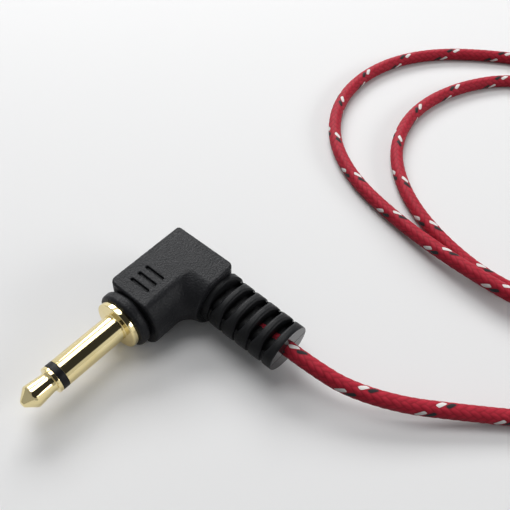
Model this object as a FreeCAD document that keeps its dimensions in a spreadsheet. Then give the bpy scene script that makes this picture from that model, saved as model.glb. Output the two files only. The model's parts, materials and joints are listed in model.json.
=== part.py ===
"""Instrument cable: a short cord with a right-angle 3.5 mm mono plug at each end.

Frame, in millimetres: the origin is the centre of the near plug's seating face, which is the
front of its flange.  The near plug's tip points along -X, its strain relief along -Y and its
flat top up, along +Z.  The plug's body and the cord lie on one surface under them.
"""
import FreeCAD
import Part
import math
import os
import Sketcher
from FreeCAD import Placement, Rotation, Vector

doc = FreeCAD.newDocument("InstrumentCable")
sheet = doc.addObject("Spreadsheet::Sheet", "Sizes")

# Driving dimensions in millimetres.
SIZES = [
    # contacts: a standard 3.5 mm mono plug, 14 mm from its seating face to its tip
    ("sleeve_diameter", 3.5),
    ("sleeve_length", 8.6),
    ("flange_diameter", 6.4),
    ("flange_thickness", 0.83),
    ("flange_lip_diameter", 6.1),
    ("flange_lip_length", 0.14),
    ("barrel_diameter", 4.4),
    ("barrel_length", 3.6),
    ("barrel_groove_depth", 0.7),
    ("barrel_groove_width", 0.8),
    ("ring_length", 0.9),
    ("ring_spigot_diameter", 2.9),
    ("ring_spigot_length", 1.2),
    ("tip_collar_length", 0.45),
    ("tip_neck_diameter", 2.5),
    ("tip_neck_length", 0.35),
    ("tip_waist_length", 2.4),
    ("tip_head_diameter", 3.02),
    ("tip_cone_length", 1.3),
    ("tip_nose_diameter", 0.7),
    ("tip_socket_depth", 2.2),
    ("rod_diameter", 1.5),
    ("rod_spigot_diameter", 0.9),
    ("rod_spigot_length", 0.75),
    ("tube_wall", 0.33),
    ("tube_clearance", 0.03),
    ("washer_thickness", 0.6),
    ("terminal_thickness", 0.35),
    ("tip_terminal_diameter", 2.6),
    ("tip_tongue_height", 0.5),
    ("tip_tongue_width", 1.6),
    ("tip_tongue_length", 3.7),
    ("ground_tab_reach", 3.0),
    ("ground_strip_width", 1.6),
    ("crimp_length", 1.0),
    ("crimp_gap", 0.4),
    # moulded body
    ("elbow_distance", 11.4),
    ("body_height", 7.5),
    ("body_front", 2.5),
    ("outer_side", 3.4),
    ("outer_end", 3.05),
    ("plug_arm_reach", 4.6),
    ("plug_arm_edge", 2.66),
    ("cord_arm_reach", 3.9),
    ("cord_arm_edge", 1.07),
    ("body_end", 6.2),
    ("elbow_radius", 2.3),
    ("roll_radius", 1.2),
    ("corner_radius", 0.5),
    ("front_radius", 0.9),
    ("edge_radius", 0.28),
    ("nose_diameter", 7.5),
    ("nose_length", 1.42),
    ("nose_edge_radius", 0.45),
    ("nose_neck_depth", 0.6),
    ("grip_first", 4.43),
    ("grip_pitch", 1.24),
    ("grip_length", 2.95),
    ("grip_width", 0.42),
    ("grip_depth", 0.34),
    ("grip_edge_radius", 0.13),
    ("grip_shift", 0.16),
    # strain relief
    ("relief_width", 6.76),
    ("relief_height", 4.9),
    ("relief_end", 17.5),
    ("first_slot", 6.9),
    ("slot_width", 1.1),
    ("slot_pitch", 2.1),
    ("slot_count", 5),
    ("slot_floor", 1.2),
    ("floor_step", 0.3),
    ("core_width", 6.0),
    ("core_oval_height", 4.4),
    ("relief_shift", 0.1),
    ("rib_edge_radius", 0.22),
    ("relief_root", 5.9),
    ("collar_width", 7.0),
    ("collar_height", 5.9),
    ("collar_shift", 0.35),
    ("anchor_width", 4.9),
    ("anchor_height", 4.1),
    ("anchor_start", 4.0),
    ("anchor_length", 0.9),
    ("anchor_neck_width", 4.0),
    ("anchor_neck_height", 3.2),
    # inner mould, which holds the joints
    ("inner_wall", 0.9),
    ("inner_height", 5.0),
    ("inner_side", 3.25),
    ("inner_cord_width", 3.8),
    # the far plug's place on the table
    ("far_origin_across", 80.1),
    ("far_origin_along", -44.9),
    # cord and its stripped end
    ("cord_diameter", 2.0),
    ("cord_lead", 3.9),
    ("jacket_end", 2.3),
    ("insulation_diameter", 0.9),
    ("conductor_diameter", 0.44),
    ("shield_tail_diameter", 0.5),
    ("core_height", 0.22),
    ("tail_drop", 0.25),
    ("tail_offset", 0.6),
    ("tail_rise", 0.6),
    ("wire_bend", 0.7),
    ("tail_bend", 0.5),
    ("tip_solder_height", 0.65),
    ("ground_solder_height", 1.35),
    ("solder_base", 1.0),
    ("solder_top", 0.7),
]
for row, (alias, value) in enumerate(SIZES, start=1):
    sheet.set("A%d" % row, alias)
    sheet.set("B%d" % row, str(value))
    sheet.setAlias("B%d" % row, alias)
doc.recompute()


def size(text):
    """The value of an expression in the sheet's words."""
    return float(sheet.evalExpression(text))


def new_body(name):
    """An empty body with its own label."""
    body = doc.addObject("PartDesign::Body", name)
    body.Label = name
    return body


def new_sketch(body, plane, offset=None):
    """A sketch on one of the body's own origin planes, moved along its normal."""
    sketch = body.newObject("Sketcher::SketchObject", body.Name + "_sketch")
    for feature in body.Origin.OriginFeatures:
        if feature.Role == plane:
            sketch.AttachmentSupport = [(feature, "")]
    sketch.MapMode = "FlatFace"
    if offset is not None:
        sketch.setExpression("AttachmentOffset.Base.z", named(offset))
    return sketch


WORDS = sorted((alias for alias, value in SIZES), key=len, reverse=True)


def named(text):
    """The same expression with every alias written as the sheet's."""
    out = []
    word = ""
    for letter in text + " ":
        if letter.isalnum() or letter in "_.":
            word += letter
            continue
        out.append("Sizes." + word if word in WORDS else word)
        out.append(letter)
        word = ""
    return "".join(out).strip()


def fix(sketch, kind, places, text):
    """A driving constraint bound to an expression of the sheet."""
    index = sketch.addConstraint(Sketcher.Constraint(kind, *places, size(text)))
    sketch.setExpression("Constraints[%d]" % index, named(text))


def fix_point(sketch, geometry, end, across, up):
    """Places one point of the sketch at two expressions measured from its origin."""
    if across == "0":
        sketch.addConstraint(Sketcher.Constraint("PointOnObject", geometry, end, -2))
    else:
        fix(sketch, "DistanceX", (-1, 1, geometry, end), across)
    if up == "0":
        sketch.addConstraint(Sketcher.Constraint("PointOnObject", geometry, end, -1))
    else:
        fix(sketch, "DistanceY", (-1, 1, geometry, end), up)


def draw_polygon(sketch, corners):
    """A closed outline of straight lines through corners given as pairs of expressions."""
    places = [Vector(size(across), size(up), 0) for across, up in corners]
    first = sketch.GeometryCount
    count = len(corners)
    for index in range(count):
        line = Part.LineSegment(places[index], places[(index + 1) % count])
        sketch.addGeometry(line, False)
    for index in range(count):
        following = first + (index + 1) % count
        sketch.addConstraint(Sketcher.Constraint("Coincident", first + index, 2, following, 1))
    for index, (across, up) in enumerate(corners):
        fix_point(sketch, first + index, 1, across, up)


def draw_circle(sketch, across, up, diameter):
    """A circle at a place and of a diameter given as expressions."""
    centre = Vector(size(across), size(up), 0)
    circle = Part.Circle(centre, Vector(0, 0, 1), size(diameter) / 2)
    index = sketch.addGeometry(circle, False)
    fix_point(sketch, index, 3, across, up)
    fix(sketch, "Diameter", (index,), diameter)


def draw_ellipse(sketch, across, width, height):
    """An ellipse centred on the sketch's first axis, with its long axis along it."""
    centre = Vector(size(across), 0, 0)
    right = centre + Vector(size(width) / 2, 0, 0)
    top = centre + Vector(0, size(height) / 2, 0)
    index = sketch.addGeometry(Part.Ellipse(right, top, centre), False)
    sketch.exposeInternalGeometry(index)
    sketch.addConstraint(Sketcher.Constraint("Horizontal", index + 1))
    fix_point(sketch, index, 3, across, "0")
    fix(sketch, "Distance", (index + 1,), width)
    fix(sketch, "Distance", (index + 2,), height)


def draw_slot(sketch, across, up, width, length):
    """A slot with round ends, long along the sketch's second axis."""
    radius = size(width) / 2
    reach = "(%s-%s)/2" % (length, width)
    low = Vector(size(across), size("%s-%s" % (up, reach)), 0)
    high = Vector(size(across), size("%s+%s" % (up, reach)), 0)
    side = Vector(radius, 0, 0)
    up_axis = Vector(0, 0, 1)
    first = sketch.GeometryCount
    sketch.addGeometry(Part.LineSegment(low + side, high + side), False)
    sketch.addGeometry(Part.ArcOfCircle(Part.Circle(high, up_axis, radius), 0, math.pi), False)
    sketch.addGeometry(Part.LineSegment(high - side, low - side), False)
    low_circle = Part.Circle(low, up_axis, radius)
    sketch.addGeometry(Part.ArcOfCircle(low_circle, math.pi, 2 * math.pi), False)
    joints = [(0, 2, 1, 1), (1, 2, 2, 1), (2, 2, 3, 1), (3, 2, 0, 1)]
    for one, one_end, other, other_end in joints:
        places = (first + one, one_end, first + other, other_end)
        sketch.addConstraint(Sketcher.Constraint("Tangent", *places))
    sketch.addConstraint(Sketcher.Constraint("Equal", first + 1, first + 3))
    fix_point(sketch, first + 1, 3, across, "%s+%s" % (up, reach))
    fix_point(sketch, first + 3, 3, across, "%s-%s" % (up, reach))
    fix(sketch, "Radius", (first + 1,), "%s/2" % width)


def pad(body, sketch, length, reverse=False, midplane=False):
    """Extends a sketch along its normal."""
    feature = body.newObject("PartDesign::Pad", body.Name + "_pad")
    feature.Profile = sketch
    feature.setExpression("Length", named(length))
    feature.Reversed = reverse
    feature.Midplane = midplane
    return feature


def pocket(body, sketch, length, reverse=False, midplane=False):
    """Cuts a sketch into the body along its normal."""
    feature = body.newObject("PartDesign::Pocket", body.Name + "_pocket")
    feature.Profile = sketch
    feature.setExpression("Length", named(length))
    feature.Reversed = reverse
    feature.Midplane = midplane
    return feature


def turn(body, corners):
    """A turned piece or feature: an outline beside the X axis, swept round it."""
    sketch = new_sketch(body, "XY_Plane")
    draw_polygon(sketch, corners)
    feature = body.newObject("PartDesign::Revolution", body.Name + "_turning")
    feature.Profile = sketch
    feature.ReferenceAxis = (sketch, ["H_Axis"])
    feature.Angle = 360
    return feature


def bore(body, diameter, start, finish, across="0", up="0"):
    """A round hole along X between two places."""
    sketch = new_sketch(body, "YZ_Plane", start)
    draw_circle(sketch, across, up, diameter)
    return pocket(body, sketch, "%s-(%s)" % (finish, start), reverse=True)


def edges_where(feature, test):
    """The names of the feature's edges that pass a test on the edge."""
    doc.recompute()
    edges = feature.Shape.Edges
    return ["Edge%d" % (index + 1) for index, edge in enumerate(edges) if test(edge)]


def round_edges(body, feature, radius, test):
    """A fillet on the edges of the last feature that pass the test."""
    names = edges_where(feature, test)
    if not names:
        raise RuntimeError("no edge to round on " + body.Label)
    fillet = body.newObject("PartDesign::Fillet", body.Name + "_fillet")
    fillet.Base = (feature, names)
    fillet.setExpression("Radius", named(radius))
    return fillet


def near(value, target, slack=1e-4):
    """Whether two lengths are the same."""
    return abs(value - target) < slack


def is_ring(edge, place, diameter):
    """Whether an edge is a full circle round the X axis at a place along it."""
    curve = edge.Curve
    if not isinstance(curve, Part.Circle):
        return False
    same_place = near(curve.Center.x, size(place)) and near(curve.Center.y, 0)
    return same_place and near(curve.Radius, size(diameter) / 2)


def cut_from(name, base, tools):
    """Base with the tools' space taken out of it."""
    tool = tools[0]
    if len(tools) > 1:
        tool = doc.addObject("Part::MultiFuse", name + "_space")
        tool.Shapes = tools
    result = doc.addObject("Part::Cut", name)
    result.Label = name
    result.Base = base
    result.Tool = tool
    return result


# Places along the plug's axis, worked out from the sizes.
RING_BACK = "-sleeve_length"
RING_FRONT = "-sleeve_length-ring_length"
COLLAR_FRONT = RING_FRONT + "-tip_collar_length"
NECK_FRONT = COLLAR_FRONT + "-tip_neck_length"
HEAD_BACK = NECK_FRONT + "-tip_waist_length"
TIP_END = HEAD_BACK + "-tip_cone_length"
BARREL_END = "flange_thickness+barrel_length"
TERMINAL_BACK = BARREL_END + "+terminal_thickness"
WASHER_END = TERMINAL_BACK + "+washer_thickness"
TONGUE_START = WASHER_END + "+terminal_thickness"
TUBE_RADIUS = "rod_diameter/2+tube_clearance+tube_wall"
SLEEVE_BORE = TUBE_RADIUS + "+tube_clearance"
CORE_RADIUS = "((%s)+barrel_diameter/2-barrel_groove_depth)/2" % SLEEVE_BORE
CRIMP_DIAMETER = "cord_diameter+2*terminal_thickness"
CRIMP_START = "anchor_start-crimp_length-crimp_gap"


def make_tip_contact(name):
    """The turned tip: a rounded cone, a waist and the collar that seats on the black ring."""
    body = new_body(name)
    shape = turn(body, [
        (RING_FRONT, "0"),
        (RING_FRONT, "sleeve_diameter/2"),
        (COLLAR_FRONT, "sleeve_diameter/2"),
        (COLLAR_FRONT, "tip_neck_diameter/2+0.22"),
        (NECK_FRONT, "tip_neck_diameter/2"),
        (HEAD_BACK, "tip_head_diameter/2"),
        (TIP_END, "tip_nose_diameter/2"),
        (TIP_END, "0"),
    ])
    shape = round_edges(body, shape, "tip_nose_diameter*0.4",
                        lambda edge: is_ring(edge, TIP_END, "tip_nose_diameter"))
    bore(body, "rod_diameter", RING_FRONT + "-tip_socket_depth", RING_FRONT)
    return body


def make_contact_rod(name):
    """The rod that carries the tip through the sleeve, with a spigot for its terminal."""
    body = new_body(name)
    turn(body, [
        (RING_FRONT + "-tip_socket_depth", "0"),
        (RING_FRONT + "-tip_socket_depth", "rod_diameter/2"),
        (WASHER_END, "rod_diameter/2"),
        (WASHER_END, "rod_spigot_diameter/2"),
        (WASHER_END + "+rod_spigot_length", "rod_spigot_diameter/2"),
        (WASHER_END + "+rod_spigot_length", "0"),
    ])
    return body


def make_tip_ring(name):
    """The black ring between tip and sleeve, with a spigot that seats in the sleeve."""
    body = new_body(name)
    turn(body, [
        (RING_FRONT, "rod_diameter/2"),
        (RING_FRONT, "sleeve_diameter/2"),
        (RING_BACK, "sleeve_diameter/2"),
        (RING_BACK, "ring_spigot_diameter/2"),
        (RING_BACK + "+ring_spigot_length", "ring_spigot_diameter/2"),
        (RING_BACK + "+ring_spigot_length", "rod_diameter/2"),
    ])
    return body


def make_insulating_tube(name):
    """The thin tube that keeps the rod off the sleeve."""
    body = new_body(name)
    turn(body, [
        (RING_BACK + "+ring_spigot_length", "rod_diameter/2+tube_clearance"),
        (RING_BACK + "+ring_spigot_length", TUBE_RADIUS),
        (TERMINAL_BACK, TUBE_RADIUS),
        (TERMINAL_BACK, "rod_diameter/2+tube_clearance"),
    ])
    return body


def make_sleeve_contact(name):
    """The turned sleeve: its flange seats on a socket, its barrel is held in the moulding."""
    lip_start = "flange_thickness-flange_lip_length"
    groove_start = "flange_thickness+barrel_length/2-barrel_groove_width/2"
    groove_end = "flange_thickness+barrel_length/2+barrel_groove_width/2"
    body = new_body(name)
    shape = turn(body, [
        (RING_BACK, "ring_spigot_diameter/2"),
        (RING_BACK, "sleeve_diameter/2"),
        ("0", "sleeve_diameter/2"),
        ("0", "flange_diameter/2"),
        (lip_start, "flange_diameter/2"),
        (lip_start, "flange_lip_diameter/2"),
        ("flange_thickness", "flange_lip_diameter/2"),
        ("flange_thickness", "barrel_diameter/2"),
        (groove_start, "barrel_diameter/2"),
        (groove_start, "barrel_diameter/2-barrel_groove_depth"),
        (groove_end, "barrel_diameter/2-barrel_groove_depth"),
        (groove_end, "barrel_diameter/2"),
        (BARREL_END, "barrel_diameter/2"),
        (BARREL_END, SLEEVE_BORE),
        (RING_BACK + "+ring_spigot_length", SLEEVE_BORE),
        (RING_BACK + "+ring_spigot_length", "ring_spigot_diameter/2"),
    ])
    round_edges(body, shape, "flange_thickness*0.15",
                lambda edge: is_ring(edge, "0*1", "flange_diameter"))
    return body


def make_rear_washer(name):
    """The insulating washer between the two terminals."""
    body = new_body(name)
    turn(body, [
        (TERMINAL_BACK, "rod_diameter/2"),
        (TERMINAL_BACK, "barrel_diameter/2"),
        (WASHER_END, "barrel_diameter/2"),
        (WASHER_END, "rod_diameter/2"),
    ])
    return body


def make_tip_terminal(name):
    """The tip's terminal: a disc on the rod's spigot, with a tongue for the core."""
    body = new_body(name)
    disc = new_sketch(body, "YZ_Plane", WASHER_END)
    draw_circle(disc, "0", "0", "tip_terminal_diameter")
    draw_circle(disc, "0", "0", "rod_spigot_diameter")
    pad(body, disc, "terminal_thickness")
    tongue = new_sketch(body, "XZ_Plane")
    tongue_end = WASHER_END + "+tip_tongue_length"
    tongue_top = "tip_tongue_height+terminal_thickness"
    draw_polygon(tongue, [
        (WASHER_END, "tip_tongue_height"),
        (tongue_end, "tip_tongue_height"),
        (tongue_end, tongue_top),
        (WASHER_END, tongue_top),
    ])
    pad(body, tongue, "tip_tongue_width", midplane=True)
    return body


def make_ground_terminal(name):
    """The sleeve's terminal: a ring behind the barrel, a strip, and a crimp on the jacket."""
    half = "ground_strip_width/2"
    body = new_body(name)
    ring = new_sketch(body, "YZ_Plane", BARREL_END)
    draw_circle(ring, "0", "0", "barrel_diameter")
    draw_circle(ring, "0", "0", "2*(%s)" % TUBE_RADIUS)
    pad(body, ring, "terminal_thickness")
    tab = new_sketch(body, "YZ_Plane", BARREL_END)
    draw_polygon(tab, [
        ("-ground_tab_reach", "-" + half),
        ("-barrel_diameter/2+0.3", "-" + half),
        ("-barrel_diameter/2+0.3", half),
        ("-ground_tab_reach", half),
    ])
    pad(body, tab, "terminal_thickness")
    strip = new_sketch(body, "XY_Plane")
    strip_end = "elbow_distance-cord_diameter/2-terminal_thickness/2"
    strip_top = "terminal_thickness-ground_tab_reach"
    draw_polygon(strip, [
        (BARREL_END, "-ground_tab_reach"),
        (strip_end, "-ground_tab_reach"),
        (strip_end, strip_top),
        (BARREL_END, strip_top),
    ])
    pad(body, strip, "ground_strip_width", midplane=True)
    crimp = new_sketch(body, "XZ_Plane", CRIMP_START)
    draw_circle(crimp, "elbow_distance", "0", CRIMP_DIAMETER)
    pad(body, crimp, "crimp_length")
    hole = new_sketch(body, "XZ_Plane", CRIMP_START)
    draw_circle(hole, "elbow_distance", "0", "cord_diameter")
    pocket(body, hole, "crimp_length", reverse=True)
    gap = new_sketch(body, "XZ_Plane", CRIMP_START)
    draw_polygon(gap, [
        ("elbow_distance", "-crimp_gap/2"),
        ("elbow_distance+cord_diameter", "-crimp_gap/2"),
        ("elbow_distance+cord_diameter", "crimp_gap/2"),
        ("elbow_distance", "crimp_gap/2"),
    ])
    pocket(body, gap, "crimp_length", reverse=True)
    return body


def make_jacket_end(name):
    """The braided cord's end inside the strain relief and the body, cut square."""
    body = new_body(name)
    sketch = new_sketch(body, "XZ_Plane", "jacket_end")
    draw_circle(sketch, "elbow_distance", "0", "cord_diameter")
    pad(body, sketch, "relief_end-jacket_end")
    return body


def make_bent_wire(name, diameter, across, up, turn_at, bend, finish):
    """A wire out of the jacket's end that runs along +Y and then bends towards -X."""
    body = new_body(name)
    profile = new_sketch(body, "XZ_Plane", "jacket_end")
    draw_circle(profile, across, up, diameter)
    path = new_sketch(body, "XY_Plane", up)
    corner = (across, "-(%s)-(%s)" % (turn_at, bend))
    bend_end = ("%s-(%s)" % (across, bend), "-(%s)" % turn_at)
    runs = [((across, "-jacket_end"), corner), (bend_end, (finish, bend_end[1]))]
    for start, stop in runs:
        first = Vector(size(start[0]), size(start[1]), 0)
        last = Vector(size(stop[0]), size(stop[1]), 0)
        path.addGeometry(Part.LineSegment(first, last), False)
    centre = Vector(size(bend_end[0]), size(corner[1]), 0)
    circle = Part.Circle(centre, Vector(0, 0, 1), size(bend))
    path.addGeometry(Part.ArcOfCircle(circle, 0, math.pi / 2), False)
    for index, (start, stop) in enumerate(runs):
        fix_point(path, index, 1, *start)
        fix_point(path, index, 2, *stop)
    path.addConstraint(Sketcher.Constraint("Coincident", 2, 1, 0, 2))
    path.addConstraint(Sketcher.Constraint("Coincident", 2, 2, 1, 1))
    fix(path, "DistanceX", (-1, 1, 2, 3), bend_end[0])
    pipe = body.newObject("PartDesign::AdditivePipe", name + "_pipe")
    pipe.Profile = profile
    pipe.Spine = (path, [""])
    return body


CORE_END = WASHER_END + "+tip_tongue_length+0.15"
TAIL_LINE = "jacket_end-tail_rise"
TIP_JOINT = WASHER_END + "+tip_tongue_length*0.65"
GROUND_JOINT = "elbow_distance-cord_diameter/2-1.9"


def make_core_conductor(name):
    """The bare end of the core, soldered under the tip terminal's tongue."""
    body = new_body(name)
    start = WASHER_END + "+tip_tongue_length*0.35"
    sketch = new_sketch(body, "YZ_Plane", start)
    draw_circle(sketch, "0", "core_height", "conductor_diameter")
    pad(body, sketch, "%s-(%s)" % (CORE_END, start))
    return body


def make_solder_form(name, plane, lift, across, seat, top):
    """A lump of solder: a cone that stands on its terminal."""
    body = new_body(name)
    sketch = new_sketch(body, plane, lift)
    sketch.setExpression("AttachmentOffset.Base.x", named(across))
    draw_polygon(sketch, [
        ("0", seat),
        ("solder_base/2", seat),
        ("solder_top/2", top),
        ("0", top),
    ])
    feature = body.newObject("PartDesign::Revolution", name + "_turning")
    feature.Profile = sketch
    feature.ReferenceAxis = (sketch, ["V_Axis"])
    feature.Angle = 360
    return body


def make_strain_relief(name):
    """The ribbed boot: oval ribs on a flat-topped core, and an anchor inside the body."""
    body = new_body(name)

    def oval(start, length, width, height, shift="relief_shift"):
        sketch = new_sketch(body, "XZ_Plane", start)
        draw_ellipse(sketch, "elbow_distance+" + shift, width, height)
        return pad(body, sketch, length)

    def flats(start, floor):
        sketch = new_sketch(body, "XZ_Plane", start)
        left = "elbow_distance-core_width"
        right = "elbow_distance+core_width"
        for sign in ("", "-"):
            level = "%s(%s)" % (sign, floor)
            beyond = sign + "core_oval_height"
            draw_polygon(sketch, [(left, level), (right, level), (right, beyond), (left, beyond)])
        pocket(body, sketch, "relief_end-(%s)" % start, reverse=True)

    neck_start = "anchor_start+anchor_length"
    rib_length = "slot_pitch-slot_width"
    ribs = int(size("slot_count")) - 1
    oval("relief_root", "relief_end-relief_root", "core_width", "core_oval_height")
    flats("relief_root", "slot_floor")
    flats("first_slot+slot_pitch*(slot_count-2)-(%s)/2" % rib_length, "slot_floor-floor_step")
    oval("anchor_start", "anchor_length", "anchor_width", "anchor_height", "0")
    oval(neck_start, "relief_root-(%s)" % neck_start, "anchor_neck_width",
         "anchor_neck_height", "0")
    oval("relief_root", "first_slot-relief_root", "collar_width", "collar_height",
         "collar_shift")
    for index in range(ribs):
        start = "first_slot+slot_width+%d*slot_pitch" % index
        oval(start, rib_length, "relief_width", "relief_height")
    end_ring = "first_slot+slot_width+%d*slot_pitch" % ribs
    oval(end_ring, "relief_end-(%s)" % end_ring, "relief_width", "relief_height")
    sketch = new_sketch(body, "XZ_Plane", "anchor_start")
    draw_circle(sketch, "elbow_distance", "0", "cord_diameter")
    shape = pocket(body, sketch, "relief_end-anchor_start", reverse=True)

    def is_rib_edge(edge):
        box = edge.BoundBox
        wide = box.XLength > size("core_width") + 0.1
        flat = box.YLength < 1e-4
        place = -box.YMax
        return wide and flat and size("relief_root") + 0.1 < place < size("relief_end") - 0.1

    round_edges(body, shape, "rib_edge_radius", is_rib_edge)
    return body


def make_inner_block(name):
    """The inner mould's outline, before the space of the pieces in it is taken out."""
    body = new_body(name)
    sketch = new_sketch(body, "XY_Plane")
    left = "elbow_distance-inner_cord_width/2"
    right = "elbow_distance+inner_cord_width/2"
    top = "outer_side-inner_wall"
    draw_polygon(sketch, [
        (BARREL_END, "-inner_side"),
        (left, "-inner_side"),
        (left, "-anchor_start"),
        (right, "-anchor_start"),
        (right, top),
        (BARREL_END, top),
    ])
    pad(body, sketch, "inner_height", midplane=True)
    return body


def make_barrel_space(name):
    """The space inside the barrel and the ring terminal, which the mouldings leave free."""
    body = new_body(name)
    sketch = new_sketch(body, "YZ_Plane")
    draw_circle(sketch, "0", "0", "2*(%s)" % CORE_RADIUS)
    pad(body, sketch, TERMINAL_BACK)
    return body


def draw_arm(sketch, outer, reach, edge, side):
    """An arm's section: flat top, bottom and outer wall, and a bulging inner side."""
    half = size("body_height") / 2
    middle = size(side)
    wall = middle + size(outer)
    inner = middle - size(edge)
    bulge = size(reach) - size(edge)
    radius = (bulge ** 2 + half ** 2) / (2 * bulge)
    centre = Vector(middle - size(reach) + radius, 0, 0)
    places = [Vector(inner, half, 0), Vector(wall, half, 0)]
    places += [Vector(wall, -half, 0), Vector(inner, -half, 0)]
    for start, stop in zip(places[:-1], places[1:]):
        sketch.addGeometry(Part.LineSegment(start, stop), False)
    circle = Part.Circle(centre, Vector(0, 0, 1), radius)
    first_angle = math.atan2(half, inner - centre.x)
    sketch.addGeometry(Part.ArcOfCircle(circle, first_angle, 2 * math.pi - first_angle), False)
    for index in range(2):
        sketch.addConstraint(Sketcher.Constraint("Coincident", index, 2, index + 1, 1))
    sketch.addConstraint(Sketcher.Constraint("Coincident", 3, 1, 0, 1))
    sketch.addConstraint(Sketcher.Constraint("Coincident", 3, 2, 2, 2))
    inner_text = "%s-%s" % (side, edge)
    fix_point(sketch, 0, 1, inner_text, "body_height/2")
    fix_point(sketch, 0, 2, "%s+%s" % (side, outer), "body_height/2")
    fix_point(sketch, 1, 2, "%s+%s" % (side, outer), "-body_height/2")
    fix_point(sketch, 2, 2, inner_text, "-body_height/2")
    bulge_text = "(%s-%s)" % (reach, edge)
    fix(sketch, "Radius", (3,), "(%s^2+(body_height/2)^2)/(2*%s)" % (bulge_text, bulge_text))


def make_body_form(name):
    """The moulded body from outside: two arms, a nose collar and the grip lines."""
    body = new_body(name)
    wall_x = "elbow_distance+outer_end"
    plug_arm = new_sketch(body, "YZ_Plane", "body_front")
    draw_arm(plug_arm, "outer_side", "plug_arm_reach", "plug_arm_edge", "0*1")
    pad(body, plug_arm, "%s-body_front" % wall_x)
    cord_arm = new_sketch(body, "XZ_Plane", "-outer_side")
    draw_arm(cord_arm, "outer_end", "cord_arm_reach", "cord_arm_edge", "elbow_distance")
    shape = pad(body, cord_arm, "outer_side+body_end+elbow_radius+1")
    elbow_x = size("elbow_distance")

    def is_elbow_crease(edge):
        box = edge.BoundBox
        middle = box.Center
        inner = middle.x < elbow_x and middle.y < 0 and middle.x > size("body_front") + 2
        return inner and box.XLength > 0.5 and box.YLength > 0.5

    shape = round_edges(body, shape, "elbow_radius", is_elbow_crease)

    def is_roll_edge(edge):
        box = edge.BoundBox
        level = near(abs(box.ZMin), size("body_height") / 2, 0.01) and box.ZLength < 0.02
        along_plug = box.YMax < -size("plug_arm_edge") + 0.01
        along_cord = box.XMax < elbow_x - size("cord_arm_edge") + 0.01
        return level and along_plug and along_cord

    shape = round_edges(body, shape, "roll_radius", is_roll_edge)
    inside = "elbow_distance-cord_arm_reach-elbow_radius-1"
    beyond = "-(body_end+elbow_radius+2)"
    trim = new_sketch(body, "XY_Plane")
    draw_polygon(trim, [
        (inside, "-body_end"),
        (wall_x + "+1", "-body_end"),
        (wall_x + "+1", beyond),
        (inside, beyond),
    ])
    shape = pocket(body, trim, "2*body_height", midplane=True)
    top = size("body_height") / 2

    def upright_at(across, along):
        def test(edge):
            box = edge.BoundBox
            straight = box.XLength < 1e-4 and box.YLength < 1e-4
            return straight and near(box.XMin, size(across)) and near(box.YMin, size(along))
        return test

    def is_outer_top(edge):
        box = edge.BoundBox
        level = near(abs(box.ZMin), top) and box.ZLength < 1e-4
        across_front = near(box.XMax, size("body_front"))
        across_end = near(box.YMax, -size("body_end"))
        outside = box.YMax > size("outer_side") - 0.01 or box.XMax > size(wall_x) - 0.01
        return level and (outside or across_front or across_end)

    shape = round_edges(body, shape, "corner_radius", upright_at(wall_x, "outer_side"))
    shape = round_edges(body, shape, "front_radius", upright_at("body_front", "outer_side"))
    shape = round_edges(body, shape, "front_radius", upright_at(wall_x, "-body_end"))
    shape = round_edges(body, shape, "edge_radius", is_outer_top)
    nose_end = "flange_thickness+nose_length"
    shape = turn(body, [
        ("flange_thickness", CORE_RADIUS),
        ("flange_thickness", "nose_diameter/2"),
        (nose_end, "nose_diameter/2"),
        (nose_end, "nose_diameter/2-nose_neck_depth"),
        ("body_front+0.5", "nose_diameter/2-nose_neck_depth"),
        ("body_front+0.5", CORE_RADIUS),
    ])

    def is_nose_rim(edge):
        front = is_ring(edge, "flange_thickness", "nose_diameter")
        return front or is_ring(edge, nose_end, "nose_diameter")

    round_edges(body, shape, "nose_edge_radius", is_nose_rim)
    for side, sign in (("top", ""), ("bottom", "-")):
        grip = new_sketch(body, "XY_Plane", sign + "body_height/2")
        for index in range(3):
            middle = "elbow_distance-grip_first-%d*grip_pitch" % index
            draw_slot(grip, middle, "grip_shift", "grip_width", "grip_length")
        shape = pocket(body, grip, "grip_depth", reverse=side == "bottom")

    def is_grip_rim(edge):
        box = edge.BoundBox
        level = near(abs(box.ZMin), top) and box.ZLength < 1e-4
        beside = abs(box.Center.y - size("grip_shift")) < size("grip_length") / 2 + 0.01
        return level and beside and size("body_front") + 0.1 < box.XMin and box.XMax < elbow_x

    round_edges(body, shape, "grip_edge_radius", is_grip_rim)
    return body


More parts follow.
